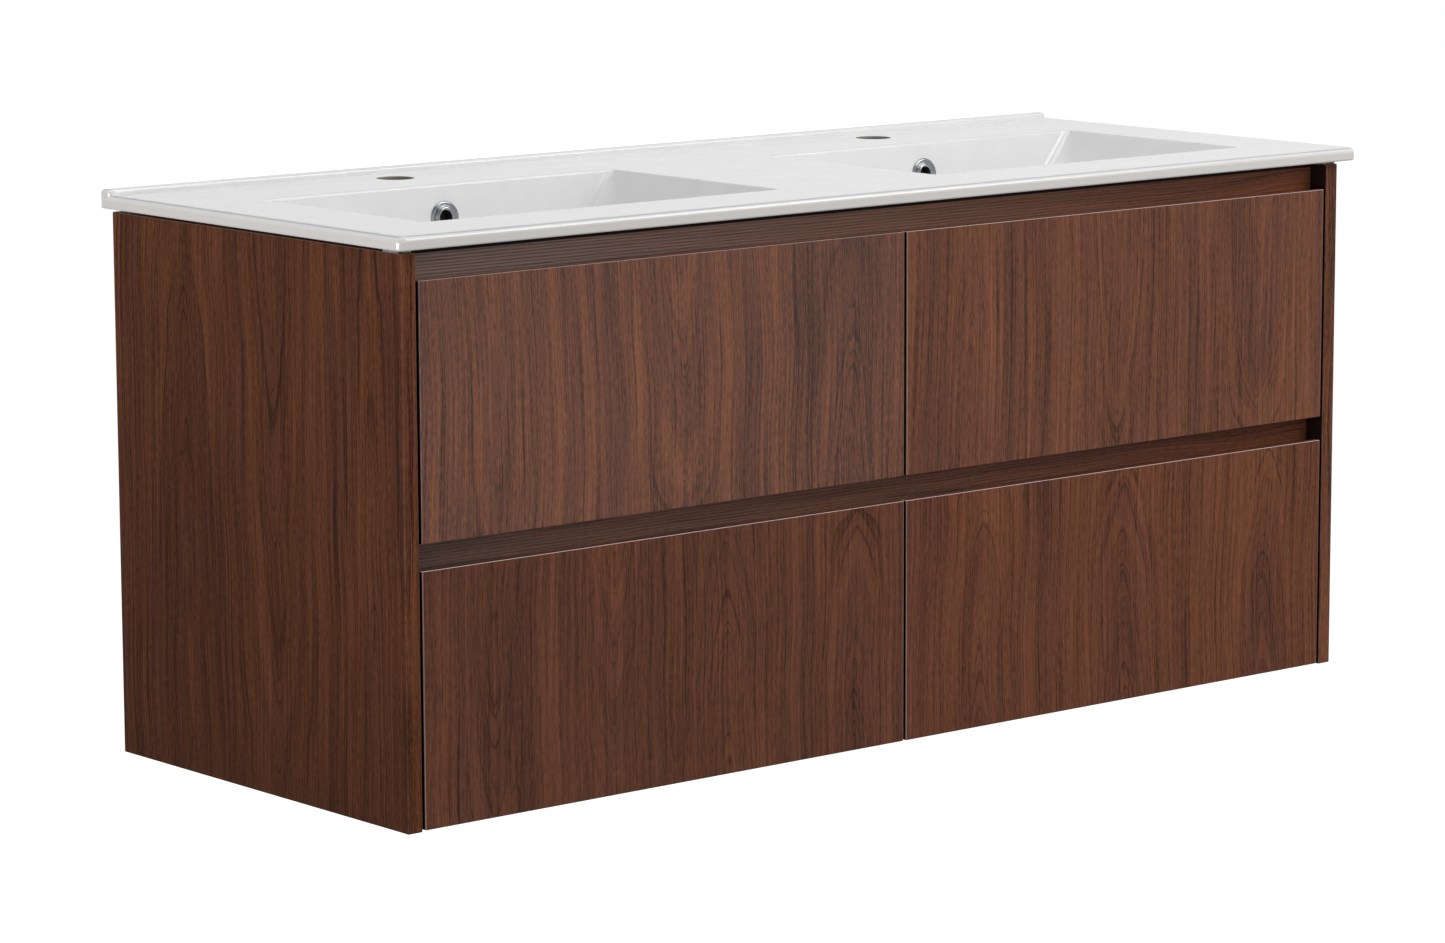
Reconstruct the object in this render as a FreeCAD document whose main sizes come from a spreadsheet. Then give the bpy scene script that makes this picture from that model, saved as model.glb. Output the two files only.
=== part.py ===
import FreeCAD, Part
import math
import os
import re

import Sketcher

# Wall-hung vanity cabinet with four handleless drawers and a two-bowl ceramic top.
#
# Frame, in millimetres: X runs along the cabinet with 0 at its middle, Y = 0 is the wall face
# and the front looks towards -Y, and Z = 0 is the underside of the cabinet.

SIZES = {
    # carcass
    "cabinet_width": 1180,
    "cabinet_depth": 453,
    "cabinet_height": 516,
    "board": 16,
    "rail_setback": 22,
    "top_rail_height": 60,
    "middle_rail_bottom": 204,
    "middle_rail_height": 74,
    "back_top_rail_height": 100,
    "back_bottom_rail_height": 100,
    "panel_setback": 18,
    # wall screw holes and cam locks
    "wall_hole_spacing": 900,
    "wall_hole_edge": 45,
    "wall_hole": 8,
    "cam": 15,
    "cam_hole": 15.2,
    "cam_depth": 12.5,
    "cam_edge": 24,
    "cam_row": 60,
    "cam_slot_width": 2,
    "cam_slot_depth": 4,
    # corner brackets, bumpers and pads under the ceramic top
    "bracket_leg": 40,
    "bracket_steel": 2,
    "bracket_height": 60,
    "bracket_bottom": 440,
    "bracket_screw_reach": 26,
    "bracket_screw_rise": 15,
    "bumper": 10,
    "bumper_thickness": 5.7,
    "bumper_inset": 40,
    "bumper_drop": 20,
    "bumper_rise": 10,
    "pad_length": 22,
    "pad_width": 14,
    "pad_thickness": 4,
    "pad_front_inset": 4,
    # drawer fronts
    "front_board": 16,
    "side_gap": 3,
    "centre_gap": 3,
    "front_height": 233,
    "lower_front_bottom": 1,
    "upper_front_bottom": 258,
    "grip_flat": 8,
    "grip_drop": 12,
    # drawer boxes
    "box_board": 12,
    "box_length": 400,
    "lower_box_bottom": 26,
    "lower_box_height": 170,
    "upper_box_bottom": 284,
    "upper_box_height": 100,
    "base_board": 10,
    "base_rise": 8,
    "surround_width": 180,
    "surround_reach": 300,
    # wood screws
    "screw": 4,
    "screw_hole": 4.4,
    "screw_head": 8,
    "screw_head_height": 2.4,
    "front_screw_length": 22,
    "front_screw_inset": 70,
    "front_screw_edge": 28,
    "bracket_screw_length": 12,
    # ball-bearing runners
    "runner_width": 12.7,
    "runner_steel": 1.2,
    "runner_front": 430,
    "cabinet_member_length": 400,
    "middle_member_length": 390,
    "drawer_member_length": 388,
    "cabinet_member_height": 45,
    "middle_member_height": 37,
    "drawer_member_height": 28,
    "cabinet_member_tip": 11.5,
    "middle_member_web": 2.4,
    "middle_member_tip": 10.3,
    "drawer_member_tip": 5,
    # ceramic top
    "top_width": 1205,
    "top_depth": 468.5,
    "top_thickness": 13,
    "front_corner": 8,
    "back_corner": 2,
    "top_edge": 5.5,
    "bottom_edge": 2,
    "lip_depth": 13,
    "lip_height": 5,
    "lip_inset": 1,
    "lip_corner": 5,
    "lip_edge": 3,
    # bowls
    "bowl_x": 307.5,
    "bowl_width": 415,
    "bowl_front": 387,
    "bowl_back": 137,
    "bowl_depth": 115,
    "bowl_wall": 10,
    "bowl_floor": 12,
    "side_run": 100,
    "front_run": 78,
    "back_run": 12,
    "bowl_corner": 7,
    "floor_corner": 7,
    "outer_corner": 20,
    "rim_edge": 2.5,
    # holes in the ceramic top and the hidden overflow channel
    "tap_hole": 35,
    "tap_y": 62,
    "tap_edge": 1.5,
    "waste_hole": 45,
    "waste_seat": 66,
    "waste_seat_depth": 2.5,
    "waste_y": 228,
    "waste_boss": 80,
    "boss_thickness": 24,
    "duct_width": 44,
    "duct_back": 108,
    "channel": 12,
    "channel_y": 122,
    "overflow_hole": 20,
    "overflow_drop": 32,
    # overflow rings
    "ring": 32,
    "ring_flange": 2,
    "ring_step": 24,
    "ring_step_rise": 1.6,
    "ring_hole": 14,
    "ring_sleeve": 17,
    "ring_sleeve_length": 9,
}

doc = FreeCAD.newDocument("vanity_cabinet")
parts = []


def fill_sheet():
    """Put every driving dimension in the spreadsheet under its own alias."""
    sheet = doc.addObject("Spreadsheet::Sheet", "Dims")
    for row, (alias, value) in enumerate(SIZES.items(), start=1):
        sheet.set(f"A{row}", alias)
        sheet.set(f"B{row}", str(value))
        sheet.setAlias(f"B{row}", alias)


def bound(text):
    """Point each alias in an expression at the spreadsheet."""
    return re.sub(r"[a-z][a-z_0-9]*", lambda word: dims_name(word.group()), text)


def dims_name(word):
    """The spreadsheet's name for a dimension; any other word stays as it is."""
    return "Dims." + word if word in SIZES else word


def bind(obj, **expressions):
    """Bind properties of an object to expressions of the driving dimensions."""
    for name, text in expressions.items():
        obj.setExpression(name, bound(text))


def place(obj, corner):
    """Bind an object's position; corner holds one expression for each of x, y and z."""
    for axis, text in zip("xyz", corner):
        obj.setExpression(".Placement.Base." + axis, bound(text))


def part(obj, label):
    """Give a finished sub-part the label that names its file."""
    obj.Label = label
    parts.append(obj)
    return obj


# Sketches and features


def new_body(label):
    """An empty body, ready for sketches and features."""
    return doc.addObject("PartDesign::Body", label)


def sketch_on(body, role, name, height="0"):
    """Add a sketch on one of the body's origin planes, moved along the plane's normal."""
    plane = next(item for item in body.Origin.OriginFeatures if item.Role == role)
    sketch = body.newObject("Sketcher::SketchObject", name)
    sketch.AttachmentSupport = (plane, [""])
    sketch.MapMode = "FlatFace"
    sketch.setExpression(".AttachmentOffset.Base.z", bound(height))
    return sketch


def draw_outline(sketch, points):
    """Draw a closed outline whose corners sit at the given pairs of expressions."""
    count = len(points)
    start = []
    for index in range(count):
        turn = 2 * math.pi * (index + 0.1) / count
        start.append(FreeCAD.Vector(10 * math.cos(turn), 10 * math.sin(turn), 0))
    for index in range(count):
        sketch.addGeometry(Part.LineSegment(start[index], start[(index + 1) % count]), False)
    for index in range(count):
        sketch.addConstraint(Sketcher.Constraint("Coincident", index, 2, (index + 1) % count, 1))
    for index, corner in enumerate(points):
        hold_point(sketch, index, 1, start[index], corner)


def draw_circles(sketch, centres, diameter):
    """Draw equal circles whose centres sit at the given pairs of expressions."""
    for index, centre in enumerate(centres):
        start = FreeCAD.Vector(30 * index + 10, 10, 0)
        sketch.addGeometry(Part.Circle(start, FreeCAD.Vector(0, 0, 1), 5), False)
        row = sketch.addConstraint(Sketcher.Constraint("Diameter", index, 10))
        sketch.setExpression(f"Constraints[{row}]", bound(diameter))
        hold_point(sketch, index, 3, start, centre)


def hold_point(sketch, geometry, which, start, corner):
    """Dimension one point of the sketch from the sketch's origin."""
    distances = (("DistanceX", start.x, corner[0]), ("DistanceY", start.y, corner[1]))
    for kind, value, text in distances:
        row = sketch.addConstraint(Sketcher.Constraint(kind, -1, 1, geometry, which, value))
        sketch.setExpression(f"Constraints[{row}]", bound(text))


def rectangle(left, bottom, right, top):
    """The four corners of an upright rectangle, as pairs of expressions."""
    return [(left, bottom), (right, bottom), (right, top), (left, top)]


def pad(body, sketch, length, reverse=False):
    """Raise a sketch into a solid of the given length."""
    feature = body.newObject("PartDesign::Pad", sketch.Name + "_pad")
    feature.Profile = sketch
    feature.Reversed = reverse
    bind(feature, Length=length)
    return feature


def pocket(body, sketch, length, reverse=False):
    """Cut a sketch out of the body and make sure that material came away."""
    doc.recompute()
    before = body.Shape.Volume
    feature = body.newObject("PartDesign::Pocket", sketch.Name + "_pocket")
    feature.Profile = sketch
    feature.Reversed = reverse
    bind(feature, Length=length)
    doc.recompute()
    if body.Shape.Volume >= before - 1:
        raise RuntimeError(feature.Name + " cut nothing")
    return feature


def loft(body, kind, name, lower, upper):
    """Join two sketches with a straight-sided loft."""
    feature = body.newObject("PartDesign::" + kind, name)
    feature.Profile = lower
    feature.Sections = [upper]
    feature.Ruled = True
    return feature


def fillet(body, name, radius, choose):
    """Round the edges of the body's present shape for which choose(edge) is true."""
    doc.recompute()
    base = body.Tip
    rows = []
    for row, edge in enumerate(base.Shape.Edges, start=1):
        if choose(edge):
            rows.append(f"Edge{row}")
    if not rows:
        raise RuntimeError(name + " found no edges")
    feature = body.newObject("PartDesign::Fillet", name)
    feature.Base = (base, rows)
    bind(feature, Radius=radius)
    doc.recompute()
    return feature


def is_upright(edge):
    """True for a straight edge that runs along Z."""
    box = edge.BoundBox
    return box.XLength < 0.01 and box.YLength < 0.01


def is_level(edge, height):
    """True for an edge that lies in the plane at the given height of the body."""
    box = edge.BoundBox
    return abs(box.ZMin - height) < 0.01 and abs(box.ZMax - height) < 0.01


# Shared simple pieces


def box_piece(label, size, corner):
    """A plain block with expressions for its size along X, Y, Z and its lowest corner."""
    block = doc.addObject("Part::Box", label)
    bind(block, Length=size[0], Width=size[1], Height=size[2])
    place(block, corner)
    return block


def rod(name, diameter, length, corner, axis):
    """A round rod that starts at corner and runs along axis."""
    piece = doc.addObject("Part::Cylinder", name)
    bind(piece, Radius=diameter + "/2", Height=length)
    piece.Placement.Rotation = FreeCAD.Rotation(FreeCAD.Vector(0, 0, 1), axis)
    place(piece, corner)
    return piece


def group(label, pieces):
    """Put identical separate solids in one sub-part."""
    bundle = doc.addObject("Part::Compound", label)
    bundle.Links = pieces
    return part(bundle, label)


def screw(name, seat, axis, length):
    """A pan-head wood screw whose head rests on seat and whose shank runs along axis."""
    shank = rod(name + "_shank", "screw", length, seat, axis)
    head = rod(name + "_head", "screw_head", "screw_head_height", seat, axis * -1)
    whole = doc.addObject("Part::Fuse", name)
    whole.Base = head
    whole.Tool = shank
    return whole


def sign_text(side):
    """'-' for the left side and '+' for the right side, ready for an expression."""
    return "-" if side < 0 else "+"


LEFT_AND_RIGHT = (-1, 1)
ALONG_X = FreeCAD.Vector(1, 0, 0)
ALONG_Y = FreeCAD.Vector(0, 1, 0)
ALONG_Z = FreeCAD.Vector(0, 0, 1)

INNER_HALF = "(cabinet_width/2 - board)"
RAIL_FACE = "(-cabinet_depth + rail_setback)"
TOP_RAIL_BOTTOM = "(cabinet_height - top_rail_height)"
BACK_TOP_BOTTOM = "(cabinet_height - back_top_rail_height)"
FRONT_BACK = "(-cabinet_depth + front_board)"


# Carcass


def side_panel(label, side):
    """A full-depth board at one end of the cabinet."""
    corner_x = "-cabinet_width/2" if side < 0 else "cabinet_width/2 - board"
    panel = box_piece(label, ("board", "cabinet_depth", "cabinet_height"),
                      (corner_x, "-cabinet_depth", "0"))
    part(panel, label)


def bottom_panel():
    """The floor of the carcass, with a blind hole for each cam lock near its ends."""
    body = new_body("bottom_panel")
    outline = sketch_on(body, "XY_Plane", "bottom_panel_outline")
    front = "(-cabinet_depth + panel_setback)"
    draw_outline(outline, rectangle("-" + INNER_HALF, front, INNER_HALF, "-board"))
    pad(body, outline, "board")
    holes = sketch_on(body, "XY_Plane", "bottom_panel_cam_holes", "board")
    draw_circles(holes, bottom_cam_places(), "cam_hole")
    pocket(body, holes, "cam_depth")
    part(body, "bottom_panel")


def bottom_cam_places():
    """Where the bottom panel's cams go, as pairs of expressions for x and y."""
    rows = ["(-cabinet_depth + cam_row)", "-cam_row"]
    return [(x, y) for x in cam_ends() for y in rows]


def cam_ends():
    """The x of the cams near the left and right ends of every board between the side panels."""
    return ["-(" + INNER_HALF + " - cam_edge)", "(" + INNER_HALF + " - cam_edge)"]


def rail(label, height, bottom, front, cams_on_back, wall_holes=False):
    """A board on edge between the side panels, with blind holes for its two cam locks."""
    body = new_body(label)
    outline = sketch_on(body, "XZ_Plane", label + "_outline", "-" + front)
    draw_outline(outline, rectangle("-" + INNER_HALF, bottom, INNER_HALF, bottom + " + " + height))
    pad(body, outline, "board", reverse=True)
    cam_face = "-(" + front + " + board)" if cams_on_back else "-" + front
    holes = sketch_on(body, "XZ_Plane", label + "_cam_holes", cam_face)
    places = [(x, bottom + " + " + height + "/2") for x in cam_ends()]
    draw_circles(holes, places, "cam_hole")
    pocket(body, holes, "cam_depth", reverse=cams_on_back)
    if wall_holes:
        screws = sketch_on(body, "XZ_Plane", label + "_wall_holes", "-" + front)
        rise = bottom + " + wall_hole_edge"
        places = [("-wall_hole_spacing/2", rise), ("wall_hole_spacing/2", rise)]
        draw_circles(screws, places, "wall_hole")
        pocket(body, screws, "board")
    part(body, label)


def centre_divider():
    """The upright board between the drawers, notched round the two front rails."""
    body = new_body("centre_divider")
    outline = sketch_on(body, "YZ_Plane", "centre_divider_outline", "-board/2")
    behind_rail = RAIL_FACE + " + board"
    middle_top = "middle_rail_bottom + middle_rail_height"
    draw_outline(outline, [
        (RAIL_FACE, "board"),
        (RAIL_FACE, "middle_rail_bottom"),
        (behind_rail, "middle_rail_bottom"),
        (behind_rail, middle_top),
        (RAIL_FACE, middle_top),
        (RAIL_FACE, TOP_RAIL_BOTTOM),
        (behind_rail, TOP_RAIL_BOTTOM),
        (behind_rail, "cabinet_height"),
        ("-board", "cabinet_height"),
        ("-board", "board"),
    ])
    pad(body, outline, "board")
    part(body, "centre_divider")


def cam_lock(name, seat, axis):
    """A round cam whose slotted face is at seat and whose body runs along axis."""
    barrel = rod(name + "_barrel", "cam", "cam_depth", seat, axis)
    slot = doc.addObject("Part::Box", name + "_slot")
    bind(slot, Length="cam*2/3", Width="cam_slot_width", Height="cam_slot_depth")
    slot.Placement.Rotation = barrel.Placement.Rotation
    turn = FreeCAD.Rotation(ALONG_Z, axis)
    across = turn.multVec(ALONG_X)
    beside = turn.multVec(ALONG_Y)
    corner = []
    for axis_name, text in zip("xyz", seat):
        shift_x = getattr(across, axis_name)
        shift_y = getattr(beside, axis_name)
        corner.append(f"{text} - cam/3*({shift_x:.0f}) - cam_slot_width/2*({shift_y:.0f})")
    place(slot, corner)
    whole = doc.addObject("Part::Cut", name)
    whole.Base = barrel
    whole.Tool = slot
    return whole


def cam_locks():
    """Cams in the bottom panel and in the hidden face of each rail."""
    cams = []
    for index, (x, y) in enumerate(bottom_cam_places()):
        cams.append(cam_lock(f"bottom_cam_{index}", (x, y, "board"), ALONG_Z * -1))
    front_rail_back = RAIL_FACE + " + board"
    rows = (
        ("top_front", front_rail_back, TOP_RAIL_BOTTOM + " + top_rail_height/2", ALONG_Y * -1),
        ("middle_front", front_rail_back, "middle_rail_bottom + middle_rail_height/2", ALONG_Y * -1),
        ("back_top", "-board", BACK_TOP_BOTTOM + " + back_top_rail_height/2", ALONG_Y),
        ("back_bottom", "-board", "back_bottom_rail_height/2", ALONG_Y),
    )
    for name, face, height, axis in rows:
        for index, x in enumerate(cam_ends()):
            cams.append(cam_lock(f"{name}_cam_{index}", (x, face, height), axis))
    group("cam_locks", cams)


def corner_bracket(side):
    """A steel angle between a side panel and the top back rail, with two holes in each leg."""
    name = "left_bracket" if side < 0 else "right_bracket"
    body = new_body(name)
    sign = sign_text(side)
    wall = sign + INNER_HALF

    def inward(distance):
        return f"{wall} - ({sign}1)*({distance})"

    outline = sketch_on(body, "XY_Plane", name + "_outline", "bracket_bottom")
    draw_outline(outline, [
        (inward("0"), "-board"),
        (inward("bracket_leg"), "-board"),
        (inward("bracket_leg"), "-board - bracket_steel"),
        (inward("bracket_steel"), "-board - bracket_steel"),
        (inward("bracket_steel"), "-board - bracket_leg"),
        (inward("0"), "-board - bracket_leg"),
    ])
    pad(body, outline, "bracket_height")
    rises = bracket_screw_rises()
    rail_holes = sketch_on(body, "XZ_Plane", name + "_rail_holes", "board + bracket_steel")
    draw_circles(rail_holes, [(inward("bracket_screw_reach"), rise) for rise in rises], "screw_hole")
    pocket(body, rail_holes, "bracket_steel")
    side_holes = sketch_on(body, "YZ_Plane", name + "_side_holes", inward("bracket_steel"))
    centres = [("-board - bracket_screw_reach", rise) for rise in rises]
    draw_circles(side_holes, centres, "screw_hole")
    pocket(body, side_holes, "bracket_steel", reverse=side > 0)
    return body


def bracket_screw_rises():
    """The heights of the two screws in each leg of a bracket."""
    return ["bracket_bottom + bracket_screw_rise",
            "bracket_bottom + bracket_height - bracket_screw_rise"]


def corner_brackets():
    """Both brackets with the screws that hold them."""
    brackets = []
    screws = []
    for side in LEFT_AND_RIGHT:
        brackets.append(corner_bracket(side))
        sign = sign_text(side)
        name = "left" if side < 0 else "right"
        for row, rise in enumerate(bracket_screw_rises()):
            across = f"{sign}({INNER_HALF} - bracket_screw_reach)"
            rail_seat = (across, "-board - bracket_steel", rise)
            screws.append(screw(f"{name}_rail_screw_{row}", rail_seat, ALONG_Y,
                                "bracket_screw_length"))
            side_seat = (f"{sign}({INNER_HALF} - bracket_steel)", "-board - bracket_screw_reach",
                         rise)
            screws.append(screw(f"{name}_side_screw_{row}", side_seat, ALONG_X * side,
                                "bracket_screw_length"))
    group("corner_brackets", brackets)
    group("bracket_screws", screws)


def front_bumpers():
    """Clear pads on the front rails, just behind the closed drawer fronts."""
    top_of_upper = "upper_front_bottom + front_height - bumper_drop"
    top_of_lower = "lower_front_bottom + front_height - bumper_drop"
    heights = (top_of_upper, "upper_front_bottom + bumper_rise", top_of_lower)
    near = "bumper_inset"
    far = "(" + INNER_HALF + " - bumper_inset)"
    pads = []
    for row, height in enumerate(heights):
        for column, across in enumerate(("-" + far, "-" + near, near, far)):
            pads.append(rod(f"bumper_{row}_{column}", "bumper", "bumper_thickness",
                            (across, RAIL_FACE, height), ALONG_Y * -1))
    group("front_bumpers", pads)


def basin_pads():
    """Thin clear pads on the carcass's top edges, which carry the ceramic top. Only the two at
    the front ends reach the outside of the cabinet."""
    along = ("pad_width", "pad_length", "pad_thickness")
    across = ("pad_length", "pad_width", "pad_thickness")
    front = "-cabinet_depth + pad_front_inset"
    rear = "-(board + pad_width)/2"
    spots = {
        "front_left": (along, "-cabinet_width/2", front),
        "front_right": (along, "cabinet_width/2 - pad_width", front),
        "front_middle": (along, "-pad_width/2", RAIL_FACE),
        "centre": (along, "-pad_width/2", "-cabinet_depth/2 - pad_length/2"),
        "rear_left": (across, "-cabinet_width/2 + board*2", rear),
        "rear_middle": (across, "-pad_length/2", rear),
        "rear_right": (across, "cabinet_width/2 - board*2 - pad_length", rear),
    }
    pads = []
    for name, (size, x, y) in spots.items():
        pads.append(box_piece("basin_pad_" + name, size, (x, y, "cabinet_height")))
    group("basin_pads", pads)


# Runners


def channel_points(wall, sign, web, tip, height, middle):
    """Corners of a channel section; web and tip are distances from the carcass wall."""
    thick_side = "-" if web == "runner_width" else "+"
    back = f"{wall} {sign}({web})"
    inside = f"{wall} {sign}({web} {thick_side} runner_steel)"
    end = f"{wall} {sign}({tip})"
    low = f"{middle} - {height}/2"
    high = f"{middle} + {height}/2"
    return [
        (back, low),
        (end, low),
        (end, low + " + runner_steel"),
        (inside, low + " + runner_steel"),
        (inside, high + " - runner_steel"),
        (end, high + " - runner_steel"),
        (end, high),
        (back, high),
    ]


# For each member: its web and the tip of its flanges, as distances from the carcass wall, its
# height and its length. The drawer member's web lies on the drawer, so it opens the other way.
RUNNER_MEMBERS = {
    "cabinet_runners": ("0", "cabinet_member_tip", "cabinet_member_height",
                        "cabinet_member_length"),
    "middle_runners": ("middle_member_web", "middle_member_tip", "middle_member_height",
                       "middle_member_length"),
    "drawer_runners": ("runner_width", "drawer_member_tip", "drawer_member_height",
                       "drawer_member_length"),
}


def runner_pair(drawer, member):
    """The same runner member on both sides of one drawer."""
    web, tip, height, length = RUNNER_MEMBERS[member]
    pair = []
    for name, wall, sign in (("a", drawer.low_wall, "+"), ("b", drawer.high_wall, "-")):
        body = new_body(f"{drawer.name}_{member}_{name}")
        section = sketch_on(body, "XZ_Plane", body.Name + "_section", "runner_front")
        draw_outline(section, channel_points(wall, sign, web, tip, height, drawer.runner_height))
        pad(body, section, length, reverse=True)
        pair.append(body)
    group(f"{drawer.name}_{member}", pair)


# Drawers


class Drawer:
    """The expressions that place one drawer: its bay, its front and its box."""

    def __init__(self, row, column):
        self.name = f"{row}_{column}"
        self.side = -1 if column == "left" else 1
        self.upper = row == "upper"
        self.front_bottom = f"{row}_front_bottom"
        self.box_bottom = f"{row}_box_bottom"
        self.box_height = f"{row}_box_height"
        self.runner_height = f"({self.box_bottom} + {self.box_height}/2)"
        walls = ("-" + INNER_HALF, "-board/2") if self.side < 0 else ("board/2", INNER_HALF)
        self.low_wall, self.high_wall = walls
        self.box_low = f"({self.low_wall} + runner_width)"
        self.box_high = f"({self.high_wall} - runner_width)"
        self.box_front = FRONT_BACK
        self.box_back = f"({FRONT_BACK} + box_length)"
        self.bowl = sign_text(self.side) + "bowl_x"


def drawer_front(drawer):
    """A front board with its top back edge bevelled as a finger grip."""
    label = drawer.name + "_drawer_front"
    body = new_body(label)
    profile = sketch_on(body, "YZ_Plane", label + "_profile")
    draw_outline(profile, [
        ("0", "0"),
        ("front_board", "0"),
        ("front_board", "front_height - grip_drop"),
        ("grip_flat", "front_height"),
        ("0", "front_height"),
    ])
    pad(body, profile, INNER_HALF + " - side_gap - centre_gap/2")
    left_edge = "-" + INNER_HALF + " + side_gap" if drawer.side < 0 else "centre_gap/2"
    place(body, (left_edge, "-cabinet_depth", drawer.front_bottom))
    part(body, label)


def box_front(drawer):
    """The front wall of the drawer box, with clearance holes for the front's screws."""
    label = drawer.name + "_box_front"
    body = new_body(label)
    outline = sketch_on(body, "XZ_Plane", label + "_outline", "-" + drawer.box_front)
    draw_outline(outline, rectangle(drawer.box_low + " + box_board", drawer.box_bottom,
                                    drawer.box_high + " - box_board",
                                    drawer.box_bottom + " + " + drawer.box_height))
    pad(body, outline, "box_board", reverse=True)
    holes = sketch_on(body, "XZ_Plane", label + "_screw_holes", "-" + drawer.box_front)
    draw_circles(holes, front_screw_places(drawer), "screw_hole")
    pocket(body, holes, "box_board")
    part(body, label)


def front_screw_places(drawer):
    """Where the drawer front's screws go, as pairs of expressions for x and z."""
    across = [drawer.box_low + " + front_screw_inset", drawer.box_high + " - front_screw_inset"]
    rises = [drawer.box_bottom + " + front_screw_edge",
             drawer.box_bottom + " + " + drawer.box_height + " - front_screw_edge"]
    return [(x, z) for x in across for z in rises]


def front_screws(drawer):
    """The screws that pull the drawer front against its box."""
    screws = []
    for index, (x, z) in enumerate(front_screw_places(drawer)):
        seat = (x, drawer.box_front + " + box_board", z)
        screws.append(screw(f"{drawer.name}_front_screw_{index}", seat, ALONG_Y * -1,
                            "front_screw_length"))
    group(drawer.name + "_front_screws", screws)


def box_sides(drawer):
    """The two side walls of the drawer box."""
    size = ("box_board", "box_length", drawer.box_height)
    corners = {
        "left": drawer.box_low,
        "right": drawer.box_high + " - box_board",
    }
    for name, x in corners.items():
        label = f"{drawer.name}_box_{name}_side"
        part(box_piece(label, size, (x, drawer.box_front, drawer.box_bottom)), label)


def box_back(drawer):
    """The back wall of the drawer box; an upper one has two boards beside the plumbing."""
    label = drawer.name + "_box_back"
    low = drawer.box_low + " + box_board"
    high = drawer.box_high + " - box_board"
    back = drawer.box_back + " - box_board"
    if not drawer.upper:
        size = (f"{high} - ({low})", "box_board", drawer.box_height)
        part(box_piece(label, size, (low, back, drawer.box_bottom)), label)
        return
    gap_low = f"{drawer.bowl} - surround_width/2"
    gap_high = f"{drawer.bowl} + surround_width/2"
    boards = []
    for name, start, end in (("a", low, gap_low), ("b", gap_high, high)):
        size = (f"{end} - ({start})", "box_board", drawer.box_height)
        boards.append(box_piece(f"{label}_{name}", size, (start, back, drawer.box_bottom)))
    group(label, boards)


def box_base(drawer):
    """The floor of the drawer box; an upper one is cut away round the plumbing."""
    label = drawer.name + "_box_base"
    body = new_body(label)
    low = drawer.box_low + " + box_board"
    high = drawer.box_high + " - box_board"
    front = drawer.box_front + " + box_board"
    back = drawer.box_back + " - box_board"
    corners = rectangle(low, front, high, back)
    if drawer.upper:
        reach = drawer.box_back + " - surround_reach"
        corners[3:3] = [
            (f"{drawer.bowl} + surround_width/2", back),
            (f"{drawer.bowl} + surround_width/2", reach),
            (f"{drawer.bowl} - surround_width/2", reach),
            (f"{drawer.bowl} - surround_width/2", back),
        ]
    outline = sketch_on(body, "XY_Plane", label + "_outline", drawer.box_bottom + " + base_rise")
    draw_outline(outline, corners)
    pad(body, outline, "base_board")
    part(body, label)


def plumbing_surround(drawer):
    """The U-shaped wall that keeps the drawer's contents off the basin trap."""
    label = drawer.name + "_plumbing_surround"
    body = new_body(label)
    reach = drawer.box_back + " - surround_reach"
    back = drawer.box_back + " - box_board"
    inner = "surround_width/2"
    outer = "(surround_width/2 + box_board)"
    floor = drawer.box_bottom + " + base_rise + base_board"
    outline = sketch_on(body, "XY_Plane", label + "_outline", floor)
    draw_outline(outline, [
        (f"{drawer.bowl} - {outer}", back),
        (f"{drawer.bowl} - {outer}", reach + " - box_board"),
        (f"{drawer.bowl} + {outer}", reach + " - box_board"),
        (f"{drawer.bowl} + {outer}", back),
        (f"{drawer.bowl} + {inner}", back),
        (f"{drawer.bowl} + {inner}", reach),
        (f"{drawer.bowl} - {inner}", reach),
        (f"{drawer.bowl} - {inner}", back),
    ])
    pad(body, outline, drawer.box_height + " - base_rise - base_board")
    part(body, label)


def drawer_with_runners(row, column):
    """Everything that belongs to one drawer, with its pair of runners."""
    drawer = Drawer(row, column)
    drawer_front(drawer)
    box_front(drawer)
    box_sides(drawer)
    box_back(drawer)
    box_base(drawer)
    front_screws(drawer)
    if drawer.upper:
        plumbing_surround(drawer)
    for member in RUNNER_MEMBERS:
        runner_pair(drawer, member)


# Ceramic top. Inside its body, Z = 0 is the underside of the slab.


def bowl_section(body, name, side, height, sides, front, back):
    """A rectangular section of a bowl; the last three say how far its walls have come in."""
    section = sketch_on(body, "XY_Plane", name, height)
    centre = sign_text(side) + "bowl_x"
    draw_outline(section, rectangle(f"{centre} - bowl_width/2 + ({sides})",
                                    f"-bowl_front + ({front})",
                                    f"{centre} + bowl_width/2 - ({sides})",
                                    f"-bowl_back - ({back})"))
    return section


def bowl_shell(body, side):
    """The outside of one bowl, which hangs below the slab, with its waste boss and duct."""
    name = "left_bowl" if side < 0 else "right_bowl"
    share = "(top_thickness/bowl_depth)"
    lower = "bowl_depth + bowl_floor - top_thickness"
    top = bowl_section(body, name + "_outer_top", side, "0",
                       f"side_run*{share} - bowl_wall", f"front_run*{share} - bowl_wall",
                       f"back_run*{share} - bowl_wall")
    foot = bowl_section(body, name + "_outer_foot", side, f"-({lower})",
                        "side_run - bowl_wall/2", "front_run - bowl_wall/2",
                        "back_run - bowl_wall")
    loft(body, "AdditiveLoft", name + "_shell", top, foot)


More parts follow.
